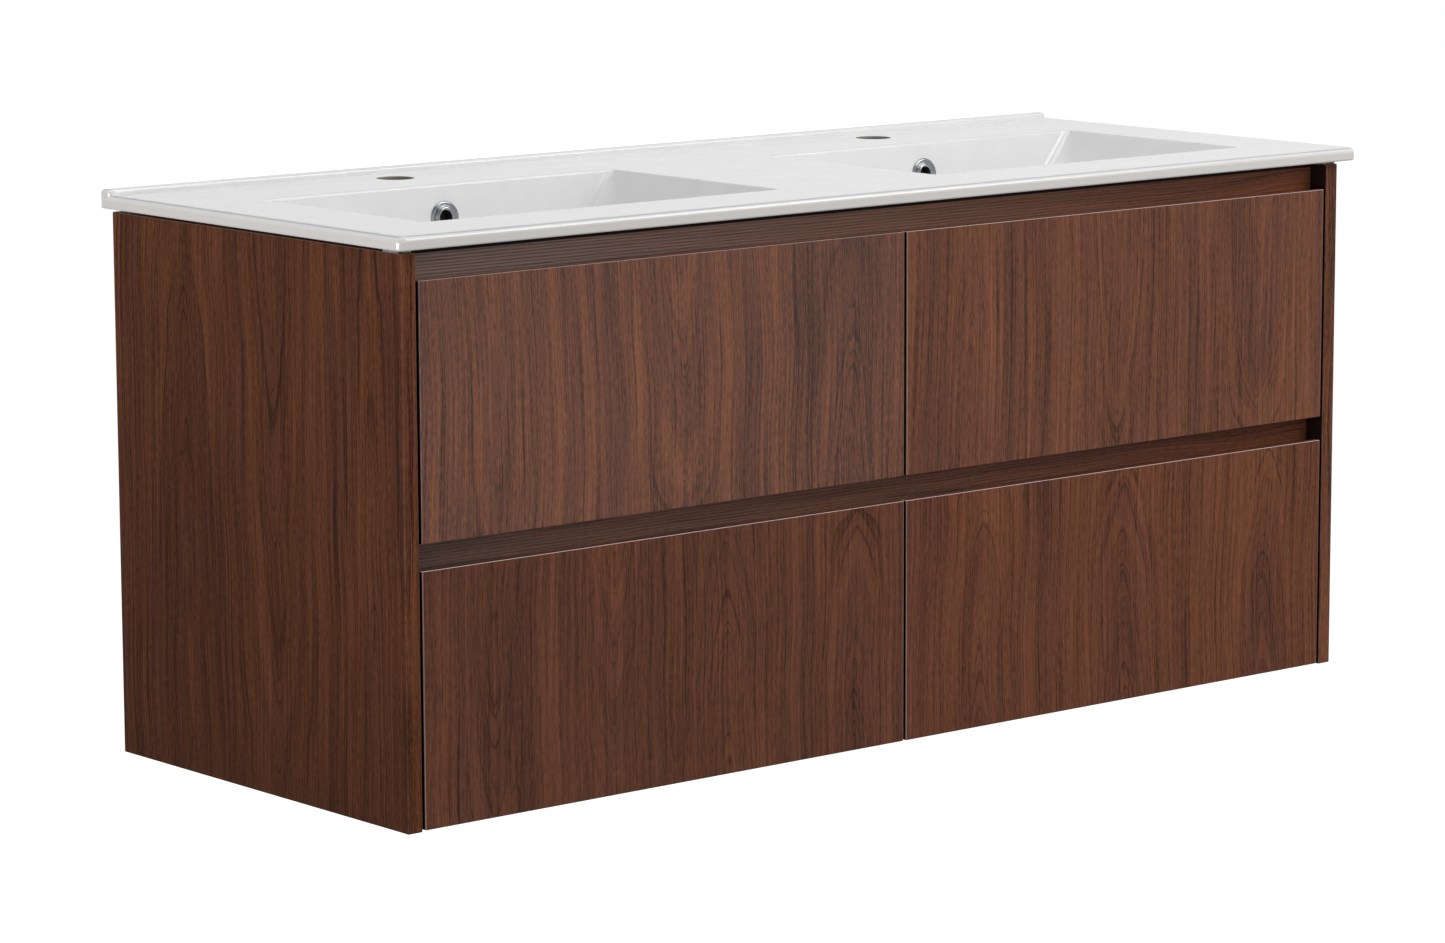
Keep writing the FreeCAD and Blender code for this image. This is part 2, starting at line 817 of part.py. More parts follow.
def bowl_ducts(body, side):
    """The thickening behind and below one bowl that holds its overflow channel."""
    name = "left_bowl" if side < 0 else "right_bowl"
    centre = sign_text(side) + "bowl_x"
    low = f"{centre} - duct_width/2"
    high = f"{centre} + duct_width/2"
    bottom = "-(bowl_depth + boss_thickness - top_thickness)"
    riser = sketch_on(body, "XY_Plane", name + "_riser", bottom)
    draw_outline(riser, rectangle(low, "-bowl_back - back_run - bowl_wall", high, "-duct_back"))
    pad(body, riser, "bowl_depth + boss_thickness - top_thickness")
    duct = sketch_on(body, "XY_Plane", name + "_duct", bottom)
    draw_outline(duct, rectangle(low, "-waste_y", high, "-duct_back"))
    pad(body, duct, "boss_thickness")
    boss = sketch_on(body, "XY_Plane", name + "_boss", bottom)
    draw_circles(boss, [(centre, "-waste_y")], "waste_boss")
    pad(body, boss, "boss_thickness")


def bowl_hollow(body, side):
    """Cut the inside of one bowl, which narrows towards its floor."""
    name = "left_bowl" if side < 0 else "right_bowl"
    floor = bowl_section(body, name + "_floor", side, "top_thickness - bowl_depth",
                         "side_run", "front_run", "back_run")
    rim = bowl_section(body, name + "_rim", side, "top_thickness", "0", "0", "0")
    loft(body, "SubtractiveLoft", name + "_hollow", floor, rim)


def top_slab(body):
    """The flat slab with its rounded corners and edges, and the low lip along its back."""
    outline = sketch_on(body, "XY_Plane", "slab_outline")
    draw_outline(outline, rectangle("-top_width/2", "-top_depth", "top_width/2", "0"))
    pad(body, outline, "top_thickness")
    middle_y = -SIZES["top_depth"] / 2
    fillet(body, "front_corners", "front_corner",
           lambda edge: is_upright(edge) and edge.BoundBox.YMax < middle_y)
    fillet(body, "back_corners", "back_corner",
           lambda edge: is_upright(edge) and edge.BoundBox.YMin > -0.01)
    fillet(body, "upper_edges", "top_edge", lambda edge: is_level(edge, SIZES["top_thickness"]))
    fillet(body, "lower_edges", "bottom_edge", lambda edge: is_level(edge, 0))
    end = "(top_width/2 - lip_inset)"
    lip = sketch_on(body, "XY_Plane", "lip_outline", "top_thickness - top_edge")
    draw_outline(lip, rectangle("-" + end, "-lip_depth", end, "0"))
    pad(body, lip, "lip_height + top_edge")
    lip_top = SIZES["top_thickness"] + SIZES["lip_height"]
    fillet(body, "lip_corners", "lip_corner", lambda edge: is_lip_corner(edge, lip_top))
    fillet(body, "lip_edges", "lip_edge", lambda edge: is_level(edge, lip_top))


def is_lip_corner(edge, lip_top):
    """True for the upright edges at the front of the lip's ends."""
    box = edge.BoundBox
    return is_upright(edge) and abs(box.ZMax - lip_top) < 0.01 and box.YMax < -0.01


def round_hole(body, name, centre, diameter, top, depth):
    """Cut a round hole downwards from the given height."""
    circle = sketch_on(body, "XY_Plane", name, top)
    draw_circles(circle, [centre], diameter)
    pocket(body, circle, depth)


def bowl_holes(body, side):
    """The tap, waste and overflow holes of one bowl, and its hidden overflow channel."""
    name = "left" if side < 0 else "right"
    centre = sign_text(side) + "bowl_x"
    floor = "(top_thickness - bowl_depth)"
    through = "boss_thickness"
    round_hole(body, name + "_tap", (centre, "-tap_y"), "tap_hole", "top_thickness",
               "top_thickness")
    round_hole(body, name + "_waste", (centre, "-waste_y"), "waste_hole", floor, through)
    round_hole(body, name + "_waste_seat", (centre, "-waste_y"), "waste_seat", floor,
               "waste_seat_depth")
    overflow = "(top_thickness - overflow_drop)"
    mouth = sketch_on(body, "XZ_Plane", name + "_overflow", "bowl_back + back_run")
    draw_circles(mouth, [(centre, overflow)], "overflow_hole")
    pocket(body, mouth, "bowl_back + back_run - channel_y + channel/2")
    low = "(top_thickness - bowl_depth - boss_thickness/2)"
    round_hole(body, name + "_downpipe", (centre, "-channel_y"), "channel", overflow,
               f"{overflow} - {low}")
    drain = sketch_on(body, "XZ_Plane", name + "_drain", "waste_y")
    draw_circles(drain, [(centre, low)], "channel*2/3")
    pocket(body, drain, "waste_y - channel_y")


def ceramic_top():
    """The whole ceramic top: slab and lip, two bowls, and the holes through them."""
    body = new_body("ceramic_top")
    place(body, ("0", "0", "cabinet_height + pad_thickness"))
    top_slab(body)
    for side in LEFT_AND_RIGHT:
        bowl_shell(body, side)
    fillet(body, "outer_bowl_corners", "outer_corner", is_outer_bowl_corner)
    for side in LEFT_AND_RIGHT:
        bowl_ducts(body, side)
    for side in LEFT_AND_RIGHT:
        bowl_hollow(body, side)
    fillet(body, "bowl_corners", "bowl_corner", is_inner_bowl_corner)
    fillet(body, "bowl_floors", "floor_corner", is_bowl_floor_edge)
    fillet(body, "bowl_rims", "rim_edge", is_bowl_rim_edge)
    for side in LEFT_AND_RIGHT:
        bowl_holes(body, side)
    fillet(body, "tap_hole_edges", "tap_edge", is_tap_hole_edge)
    part(body, "ceramic_top")


def is_outer_bowl_corner(edge):
    """True for the sloping corner edges of a bowl's outside."""
    box = edge.BoundBox
    return box.ZMax < 0.01 and box.ZLength > SIZES["bowl_depth"] / 2


def is_inner_bowl_corner(edge):
    """True for the sloping corner edges of a bowl's inside."""
    box = edge.BoundBox
    floor = SIZES["top_thickness"] - SIZES["bowl_depth"]
    return abs(box.ZMin - floor) < 0.01 and abs(box.ZLength - SIZES["bowl_depth"]) < 0.01


def is_bowl_floor_edge(edge):
    """True for the edges round the flat floor of a bowl."""
    floor = SIZES["top_thickness"] - SIZES["bowl_depth"]
    return is_level(edge, floor)


def is_bowl_rim_edge(edge):
    """True for the edges round a bowl's mouth, which lie inside the slab's outline."""
    box = edge.BoundBox
    inside = abs(box.XMin) < SIZES["top_width"] / 2 - SIZES["front_corner"] - 20
    in_rows = box.YMin > -SIZES["bowl_front"] - 1 and box.YMax < -SIZES["bowl_back"] + 1
    return is_level(edge, SIZES["top_thickness"]) and inside and in_rows


def is_tap_hole_edge(edge):
    """True for the upper edge of a tap hole."""
    box = edge.BoundBox
    return is_level(edge, SIZES["top_thickness"]) and abs(box.YLength - SIZES["tap_hole"]) < 0.1


def overflow_ring(side):
    """A stepped chrome ring whose sleeve clips into the overflow hole of one bowl."""
    label = "overflow_ring_left" if side < 0 else "overflow_ring_right"
    body = new_body(label)
    profile = sketch_on(body, "XY_Plane", label + "_profile")
    draw_outline(profile, [
        ("ring_hole/2", "ring_flange - ring_step_rise/2"),
        ("ring_hole/2 + 1", "ring_flange + ring_step_rise"),
        ("ring_step/2 - 0.5", "ring_flange + ring_step_rise"),
        ("ring_step/2", "ring_flange"),
        ("ring/2 - 1.2", "ring_flange"),
        ("ring/2", "0"),
        ("ring_sleeve/2", "0"),
        ("ring_sleeve/2", "-ring_sleeve_length"),
        ("ring_hole/2", "-ring_sleeve_length"),
    ])
    turned = body.newObject("PartDesign::Revolution", label + "_turned")
    turned.Profile = profile
    turned.ReferenceAxis = (profile, ["V_Axis"])
    lean = math.degrees(math.atan2(SIZES["back_run"], SIZES["bowl_depth"]))
    body.Placement.Rotation = FreeCAD.Rotation(ALONG_X, 180 - lean)
    depth_share = "(overflow_drop/bowl_depth)"
    place(body, (sign_text(side) + "bowl_x", f"-bowl_back - back_run*{depth_share} - 0.1",
                 "cabinet_height + pad_thickness + top_thickness - overflow_drop"))
    part(body, label)


def check(objects):
    """Stop if any object failed to compute or any sub-part has no valid solid."""
    for item in objects:
        if "Invalid" in item.State or "Error" in item.State:
            raise RuntimeError(f"{item.Label} failed: {item.State}")
    for item in parts:
        if item.Shape.isNull() or not item.Shape.isValid() or not item.Shape.Solids:
            raise RuntimeError(f"{item.Label} has no valid solid")


def build():
    """Model every sub-part and check it."""
    fill_sheet()
    doc.recompute()
    side_panel("left_side_panel", -1)
    side_panel("right_side_panel", 1)
    bottom_panel()
    centre_divider()
    rail("top_front_rail", "top_rail_height", TOP_RAIL_BOTTOM, RAIL_FACE, True)
    rail("middle_front_rail", "middle_rail_height", "middle_rail_bottom", RAIL_FACE, True)
    rail("back_top_rail", "back_top_rail_height", BACK_TOP_BOTTOM, "(-board)", False, True)
    rail("back_bottom_rail", "back_bottom_rail_height", "0", "(-board)", False, True)
    cam_locks()
    corner_brackets()
    front_bumpers()
    basin_pads()
    for row in ("upper", "lower"):
        for column in ("left", "right"):
            drawer_with_runners(row, column)
    ceramic_top()
    for side in LEFT_AND_RIGHT:
        overflow_ring(side)
    doc.recompute()
    check(doc.Objects)


def export():
    """Write one STEP file for each sub-part."""
    os.makedirs("parts", exist_ok=True)
    for item in parts:
        item.Shape.exportStep(f"parts/{item.Label}.step")
        print(item.Label, len(item.Shape.Solids), item.Shape.BoundBox)


build()
export()
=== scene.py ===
import math

import bpy
from mathutils import Matrix, Vector


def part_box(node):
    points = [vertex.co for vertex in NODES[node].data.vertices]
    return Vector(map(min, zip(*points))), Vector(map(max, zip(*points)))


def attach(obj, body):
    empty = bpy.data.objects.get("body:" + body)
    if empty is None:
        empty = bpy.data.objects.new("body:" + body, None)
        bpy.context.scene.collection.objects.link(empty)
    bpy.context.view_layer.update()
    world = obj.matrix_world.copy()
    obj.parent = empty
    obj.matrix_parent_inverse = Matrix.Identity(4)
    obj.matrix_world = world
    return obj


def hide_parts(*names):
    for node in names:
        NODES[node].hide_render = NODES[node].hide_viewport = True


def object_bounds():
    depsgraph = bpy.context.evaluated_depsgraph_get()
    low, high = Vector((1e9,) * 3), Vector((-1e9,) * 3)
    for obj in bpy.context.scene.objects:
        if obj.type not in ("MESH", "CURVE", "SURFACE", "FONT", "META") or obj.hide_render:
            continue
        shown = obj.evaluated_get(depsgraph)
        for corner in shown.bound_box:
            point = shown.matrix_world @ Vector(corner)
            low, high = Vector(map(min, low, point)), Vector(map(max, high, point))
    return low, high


# Looks of the wall-hung vanity cabinet. Lengths are metres, in the frame of the CAD model:
# X runs along the cabinet, the wall is at Y = 0, the front looks towards -Y and Z points up.

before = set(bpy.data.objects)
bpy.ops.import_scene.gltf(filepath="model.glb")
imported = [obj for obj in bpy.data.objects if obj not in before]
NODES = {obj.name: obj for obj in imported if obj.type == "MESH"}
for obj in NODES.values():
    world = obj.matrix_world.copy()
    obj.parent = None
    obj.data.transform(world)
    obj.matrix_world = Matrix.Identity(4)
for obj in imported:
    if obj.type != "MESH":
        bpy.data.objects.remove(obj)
cad_low, cad_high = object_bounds()
MILLIMETRE = 0.001

# Camera: where it stands, where it looks in degrees, its lens on a 36 mm wide sensor, and how
# far it sees
CAMERA_PLACE = (-3.148, -3.932, 1.023)
CAMERA_YAW = 40.02
CAMERA_PITCH = 9.21
CAMERA_ROLL = -0.19
CAMERA_LENS = 124.7
CAMERA_REACH = 60

# Stage
FLOOR_LEVEL = -0.45
FLOOR_RADIUS = 12.0
COVE_RADIUS = 4.0
COVE_STEPS = 12
FLOOR_SIDES = 96

# Brightness of the studio round the cabinet, from straight down (-1) to straight up (1)
SKY = ((-1.0, 0.35), (-0.06, 0.38), (0.08, 0.85), (0.35, 0.60), (0.70, 0.15))

# Tap holes of the ceramic top: distance from the middle, y, and radius with a little to spare
TAP_HOLE = (0.3075, -0.062, 0.0182)

# Overflow rings: centre of the flange's back, and the bowl wall's lean
RING_PLACE = (0.3075, -0.14044, 0.501)
RING_LEAN = math.atan2(12, 115)
RING_SIDES = 96

# Half the ring's cross-section as (radius, height) in millimetres: the sleeve, then the arcs of
# the inner lip, the fine ridge, the groove and the flange's bead. Each arc is its centre, its half
# width and half height, the angles where it starts and ends, and its number of steps.
SLEEVE_BORE = 7.0
SLEEVE_RADIUS = 8.45
SLEEVE_END = -9.0
FLANGE_BACK = 0.05
RING_ARCS = (
    (9.0, 1.40, 2.00, 2.15, 180, 50, 8),
    (11.0, 2.45, 0.75, 0.70, 140, 20, 5),
    (12.3, 1.75, 0.40, 0.35, 200, 330, 5),
    (14.2, 0.60, 1.75, 1.38, 135, -15, 9),
)

# Mouth of each overflow channel: radius, with a little to spare, and how far behind the flange's
# back the bare clay starts
CHANNEL_RADIUS = 0.0116
CLAY_DEPTH = 0.0012

# Half the width and the depth of the ceramic slab's flat top, short of its rounded edge, and
# where that edge turns over and takes a painted dark reflection: the upward part of its normal, and how far
# the turn spreads
SLAB_EDGE = (0.5965, 0.4625)
EDGE_TURN = (0.85, 0.148)
GLAZE_WHITE = ((0.818, 0.817, 0.820), (0.846, 0.845, 0.848))
GLAZE_UNDERSIDE = (0.74, 0.72, 0.68)
GLAZE_EDGE_SHADE = ((0.770, 0.745, 0.720), (0.805, 0.780, 0.755))
GLAZE_TURN_SHADE = (0.44, 0.44, 0.46)
BARE_CLAY_AND_SHADE = ((0.22, 0.20, 0.17), (0.32, 0.29, 0.25))

# Boards: radius of their edges, the height up to which the painted shade at the cabinet's bottom fades,
# the ends (x) between which a rail's painted haze of reflection fades, the depths (y) between which
# the painted shade on the faces beside the gaps fades, and how softly the painted shadow under the
# ceramic begins
EDGE_RADIUS = 0.0011
FOOT_SHADE_FADE = 0.5
PAINTED_HAZE_FADE = (-0.58, 0.58)
GAP_SHADE_FADE = (-0.427, -0.415)
SHADOW_FADE = 0.0012


class Graph:
    """The node tree of one material, with short calls that add nodes to it."""

    def __init__(self, name):
        self.material = bpy.data.materials.new(name)
        self.material.use_nodes = True
        self.tree = self.material.node_tree
        self.shader = self.tree.nodes["Principled BSDF"]
        self.output = self.tree.nodes["Material Output"]

    def add(self, kind, **settings):
        """A new node of the given kind, with its settings."""
        node = self.tree.nodes.new(kind)
        for name, value in settings.items():
            setattr(node, name, value)
        return node

    def feed(self, socket, value):
        """Link a socket to an input, or set the input to a plain value."""
        if isinstance(value, bpy.types.NodeSocket):
            self.tree.links.new(value, socket)
        else:
            socket.default_value = value

    def math(self, operation, *values):
        node = self.add("ShaderNodeMath", operation=operation)
        for socket, value in zip(node.inputs, values):
            self.feed(socket, value)
        return node.outputs[0]

    def vector(self, x, y, z):
        node = self.add("ShaderNodeCombineXYZ")
        for socket, value in zip(node.inputs, (x, y, z)):
            self.feed(socket, value)
        return node.outputs[0]

    def split(self, vector):
        node = self.add("ShaderNodeSeparateXYZ")
        self.feed(node.inputs[0], vector)
        return tuple(node.outputs)

    def coordinates(self, output):
        """Texture coordinates that stay with the piece: "Object" or "Normal"."""
        return self.split(self.add("ShaderNodeTexCoord").outputs[output])

    def noise(self, vector, detail=2.0, roughness=0.5):
        """Noise from 0 to 1 whose grain is one unit of the given vector."""
        node = self.add("ShaderNodeTexNoise")
        self.feed(node.inputs["Vector"], vector)
        node.inputs["Scale"].default_value = 1.0
        node.inputs["Detail"].default_value = detail
        node.inputs["Roughness"].default_value = roughness
        return node.outputs["Fac"]

    def grain(self, across, along, width, length, seed, detail=2.0, roughness=0.5):
        """Noise drawn out into streaks of about the given width and length."""
        place = self.vector(
            self.math("DIVIDE", across, width), self.math("DIVIDE", along, length), seed
        )
        return self.noise(place, detail, roughness)

    def remap(self, value, low, high, to_low=0.0, to_high=1.0, smooth=True):
        """Move a value from one range to another, and keep it inside the second one."""
        node = self.add("ShaderNodeMapRange")
        node.interpolation_type = "SMOOTHSTEP" if smooth else "LINEAR"
        for index, item in enumerate((value, low, high, to_low, to_high)):
            self.feed(node.inputs[index], item)
        return node.outputs[0]

    def mix(self, factor, first, second, blend="MIX"):
        """A colour between two others."""
        node = self.add("ShaderNodeMix", data_type="RGBA", blend_type=blend)
        self.feed(node.inputs["Factor"], factor)
        for socket, value in zip(node.inputs[6:8], (first, second)):
            self.feed(socket, value if isinstance(value, bpy.types.NodeSocket) else (*value, 1))
        return node.outputs[2]

    def blend(self, factor, first, second):
        """A number between two others."""
        return self.math("MULTIPLY_ADD", factor, self.math("SUBTRACT", second, first), first)

    def add_around_half(self, value, noise, strength):
        """The value, raised where the noise is above one half and lowered where it is below."""
        return self.math("MULTIPLY_ADD", self.math("SUBTRACT", noise, 0.5), strength, value)

    def cloud(self, place, size, detail=2.0):
        """Even noise whose grain has the given size."""
        return self.noise(self.vector(*[self.math("DIVIDE", axis, size) for axis in place]), detail)

    def bump(self, height, distance, strength=1.0):
        """Feed the shader a normal from a height that is 1 at the given distance."""
        node = self.add("ShaderNodeBump")
        node.inputs["Strength"].default_value = strength
        node.inputs["Distance"].default_value = distance
        self.feed(node.inputs["Height"], height)
        self.feed(self.shader.inputs["Normal"], node.outputs[0])

    def set(self, **inputs):
        """Set or link the shader's inputs, named with _ for a space."""
        for name, value in inputs.items():
            self.feed(self.shader.inputs[name.replace("_", " ")], value)


def pick(graph, across, borders, values):
    """The value that goes with the stretch of the board that holds the point."""
    result = values[0]
    for border, before, after in zip(borders, values, values[1:]):
        past = graph.math("GREATER_THAN", across, border)
        result = graph.math("MULTIPLY_ADD", past, after - before, result)
    return result


def board_axes(graph, normal, grain, edge):
    """Distances across and along the grain. On the board's ends, where the grain would run
    into the surface, the banding's grain lies along the edge instead."""
    axes = dict(zip("xyz", graph.coordinates("Object")))
    others = [name for name in "xyz" if name != grain]
    across = graph.math("ADD", axes[others[0]], axes[others[1]])
    on_end = graph.math("GREATER_THAN", graph.math("ABSOLUTE", normal[grain]), 0.7)
    edge_across = axes[next(name for name in others if name != edge)]
    return (
        graph.blend(on_end, across, edge_across),
        graph.blend(on_end, axes[grain], axes[edge]),
    )


def bend(graph, across, along, seed):
    """The distance across the grain, swaying and rippling slightly along it."""
    sway = graph.grain(across, along, 0.30, 0.22, seed, detail=1.0)
    across = graph.add_around_half(across, sway, SWAY)
    ripple = graph.grain(across, along, 0.018, 0.05, seed + 4, detail=2.0)
    return graph.add_around_half(across, ripple, RIPPLE)


def ring_distance(graph, across, along, figures, middle, seed):
    """How far a point lies from the heart of the tree, which its growth lines follow, and a
    number of its own for each figure.

    Each figure is (centre, half width, rise). Beyond its half width the lines are straight;
    inside it they climb by the rise and close into arches, which open upwards if it is positive."""
    centres = [figure[0] for figure in figures]
    borders = [(low + high) / 2 for low, high in zip(centres, centres[1:])]
    centre = pick(graph, across, borders, centres)
    half = pick(graph, across, borders, [figure[1] for figure in figures])
    rise = pick(graph, across, borders, [figure[2] for figure in figures])
    lane = pick(graph, across, borders, [LANE_STEP * index for index in range(len(figures))])
    offset = graph.math("SUBTRACT", across, centre)
    square = graph.math("MULTIPLY", offset, offset)
    reach = graph.math("SQRT", graph.math("ADD", square, RING_CORE**2))
    fade = graph.remap(graph.math("ABSOLUTE", offset), half, 0.0)
    height = graph.math("SUBTRACT", along, middle)
    lane = graph.math("ADD", lane, seed)
    wander = graph.noise(graph.vector(lane, graph.math("DIVIDE", along, 0.10), 0.0))
    wander = graph.math("MULTIPLY", graph.math("SUBTRACT", wander, 0.5), WANDER)
    climb = graph.math("MULTIPLY_ADD", height, rise, wander)
    ring = graph.math("SUBTRACT", reach, graph.math("MULTIPLY", fade, climb))
    return ring, lane


# Walnut print: colours, the painted highlight on the rounded edges, the painted shade in the gaps and
# under the ceramic, the painted haze of reflection, and the lowest and highest tone
WALNUT_WARM = (0.172, 0.060, 0.029)
WALNUT_BROWN = (0.138, 0.049, 0.028)
PAINTED_EDGE_HIGHLIGHT = (0.84, 0.67, 0.63)
PAINTED_SHADE_BROWN = (0.018, 0.010, 0.008)
PAINTED_HAZE_COLOR = (0.54, 0.52, 0.50)
WALNUT_RANGE = (0.30, 1.90)

# How far the grain sways, ripples and wanders, the flat heart of an arch, and the pitch of the ribs
SWAY = 0.022
RIPPLE = 0.0022
WANDER = 0.016
RING_CORE = 0.006
RIB_PITCH = 0.0029

# Layers of the printed grain: width, length, octaves and how strongly each one tones the wood
WALNUT_STREAKS = (
    (0.0350, 0.600, 1.0, 0.70),
    (0.0030, 0.450, 2.0, 0.85),
    (0.0014, 0.150, 1.0, 1.50),
    (0.0013, 0.008, 2.0, 1.50),
)
BAND_STRENGTH = 0.85
LINE_STRENGTH = -0.50
PORE_STRENGTH = -0.24
RIB_STRENGTH = 0.2

# How far apart in the noise the figures of one board take their lines, so that they differ
LANE_STEP = 2.7


def walnut(name, grain, edge, figures, middle, seed, board):
    """Walnut-look laminate: streaks, growth lines and pores printed on a satin, brushed surface, with a
    painted haze of reflection, painted shade and painted highlights in its colour.
    """
    graph = Graph(name)
    place = graph.coordinates("Object")
    normal = dict(zip("xyz", graph.coordinates("Normal")))
    straight, along = board_axes(graph, normal, grain, edge)
    across = bend(graph, straight, along, seed)
    ring, lane = ring_distance(graph, across, along, figures, middle, seed)
    rib = brushed_ribs(graph, straight, along, seed, board["ribs"])
    level = streaks(graph, across, along, seed)
    level = growth_lines(graph, level, across, along, ring, lane, seed, board["figure"])
    pores = graph.remap(graph.grain(across, along, 0.0008, 0.014, seed, detail=1.0), 0.60, 0.70)
    level = graph.math("MULTIPLY_ADD", pores, PORE_STRENGTH, level)
    level = graph.math("MULTIPLY_ADD", rib, RIB_STRENGTH, level)
    level = graph.math("MULTIPLY_ADD", level, board["contrast"], board["tone"])
    level = shade_by_place(graph, level, place[2], normal["y"], board)

    hue = graph.grain(ring, along, 0.026, 0.50, graph.math("ADD", lane, 1.3), detail=2.0)
    color = graph.mix(graph.remap(hue, 0.35, 0.65), WALNUT_BROWN, WALNUT_WARM)
    color = graph.mix(1.0, color, graph.vector(level, level, level), blend="MULTIPLY")
    # Painted haze of reflection: pale towards the rails' left end, streaked by the ribs
    painted_haze = graph.remap(place[0], *PAINTED_HAZE_FADE, board["painted_haze"], 0.0, smooth=False)
    painted_haze = graph.math("MULTIPLY", painted_haze, graph.math("ADD", rib, 1.0))
    color = graph.mix(painted_haze, color, PAINTED_HAZE_COLOR)
    color = paint_shade_and_highlight(graph, color, place, normal, board)

    graph.bump(graph.math("ADD", rib, level), 0.00010, 0.5)
    graph.set(Base_Color=color, Roughness=graph.remap(level, 0.6, 1.4, 0.46, 0.38))
    graph.shader.inputs["Specular IOR Level"].default_value = board["sheen"]
    return graph.material


def streaks(graph, across, along, seed):
    """The tone of the streaks, about zero."""
    level = 0.0
    for width, length, octaves, strength in WALNUT_STREAKS:
        layer = graph.grain(across, along, width, length, seed, octaves, 0.6)
        level = graph.add_around_half(level, layer, strength)
    return level


def growth_lines(graph, level, across, along, ring, lane, seed, strength):
    """Add the arches: broad bands, and dark lines with one crisp side that come and go."""
    band = graph.grain(ring, along, 0.0090, 0.500, lane, 2.0, 0.6)
    level = graph.add_around_half(level, band, BAND_STRENGTH)
    growth = graph.grain(ring, along, 0.0085, 1.6, lane, detail=1.5)
    line = graph.math("MULTIPLY", graph.remap(growth, 0.56, 0.50), graph.remap(growth, 0.486, 0.50))
    patch = graph.remap(graph.grain(across, along, 0.060, 0.130, seed + 2.0), 0.38, 0.58, 0.45, 1.0)
    line = graph.math("MULTIPLY", line, patch)
    return graph.math("MULTIPLY_ADD", line, LINE_STRENGTH * strength, level)


def shade_by_place(graph, level, z, normal_y, board):
    """Painted shade towards the bottom of the cabinet, and painted light on the front edge band."""
    # Painted shade, darker towards the cabinet's bottom
    foot = graph.remap(z, 0.0, FOOT_SHADE_FADE, board["foot"], 1.0, smooth=False)
    level = graph.math("MULTIPLY", level, foot)
    # Painted light on the faces that look to the front
    on_front = graph.math("GREATER_THAN", graph.math("ABSOLUTE", normal_y), 0.7)
    level = graph.math("MULTIPLY", level, graph.blend(on_front, 1.0, board["front_face_light"]))
    return graph.math("MINIMUM", graph.math("MAXIMUM", level, WALNUT_RANGE[0]), WALNUT_RANGE[1])


def paint_shade_and_highlight(graph, color, place, normal, board):
    """Painted shade on the faces beside the gaps, a painted shadow on the strip under the ceramic, and a
    painted highlight on the rounded edges.
    """
    # Painted shade on the faces that look into a gap, fading away from the front
    for side in board["gap_shade_sides"]:
        inner = graph.math("GREATER_THAN", graph.math("MULTIPLY", normal["x"], side), 0.9)
        near_front = graph.remap(place[1], *GAP_SHADE_FADE, 1.0, 0.0)
        color = graph.mix(graph.math("MULTIPLY", inner, near_front), color, PAINTED_SHADE_BROWN)
    # Painted highlight on the rounded edges
    color = graph.mix(arris_highlight(graph, normal, board["arris_highlight"]), color, PAINTED_EDGE_HIGHLIGHT)
    # Painted shadow on the strip under the ceramic
    shadow_under_top = graph.remap(place[2], board["shadow_above"], board["shadow_above"] + SHADOW_FADE)
    return graph.mix(shadow_under_top, color, PAINTED_SHADE_BROWN)


def brushed_ribs(graph, across, along, seed, strength):
    """Fine parallel ribs pressed into the surface along the grain, from -strength to strength."""
    jitter = graph.grain(across, along, 0.006, 0.12, seed + 3.0)
    turn = graph.math("MULTIPLY_ADD", across, 2 * math.pi / RIB_PITCH, graph.math("MULTIPLY", jitter, 5.0))
    relief = graph.grain(across, along, 0.004, 0.03, seed + 6.0)
    depth = graph.remap(relief, 0.3, 0.7, 0.35 * strength, strength)
    return graph.math("MULTIPLY", graph.math("SINE", turn), depth)


def arris_highlight(graph, normal, strength):
    """A painted highlight along the rounded edges of a board, strongest on the edges that face up."""
    sizes = [graph.math("ABSOLUTE", normal[name]) for name in "xyz"]
    largest = graph.math("MAXIMUM", graph.math("MAXIMUM", sizes[0], sizes[1]), sizes[2])
    rounded = graph.remap(largest, 0.995, 0.93, 0.0, strength)
    upright = graph.math("LESS_THAN", sizes[2], 0.1)
    share = graph.math("GREATER_THAN", normal["z"], -0.1)
    share = graph.math("MULTIPLY", share, graph.blend(upright, 1.0, 0.3))
    return graph.math("MULTIPLY", rounded, share)


def linen_melamine(name):
    """Pale grey melamine with a woven print, for the drawer boxes."""
    graph = Graph(name)
    x, y, z = graph.coordinates("Object")
    level = graph.math("ADD", z, graph.math("MULTIPLY", y, 0.31))
    length = graph.math("ADD", x, y)
    warp = graph.grain(length, level, 0.0006, 0.012, 1.0, detail=2.0)
    weft = graph.grain(level, length, 0.0006, 0.012, 5.0, detail=2.0)
    weave = graph.math("ADD", graph.math("MULTIPLY", warp, 0.5), graph.math("MULTIPLY", weft, 0.5))
    cloud = graph.grain(length, level, 0.05, 0.08, 9.0, detail=3.0)
    color = graph.mix(graph.remap(weave, 0.36, 0.64), (0.44, 0.42, 0.395), (0.60, 0.58, 0.555))
    color = graph.mix(graph.remap(cloud, 0.3, 0.7, 0.0, 0.16), color, (0.40, 0.385, 0.365))
    graph.bump(weave, 0.00008, 0.5)
    graph.set(Base_Color=color, Roughness=graph.remap(weave, 0.3, 0.7, 0.58, 0.46))
    return graph.material


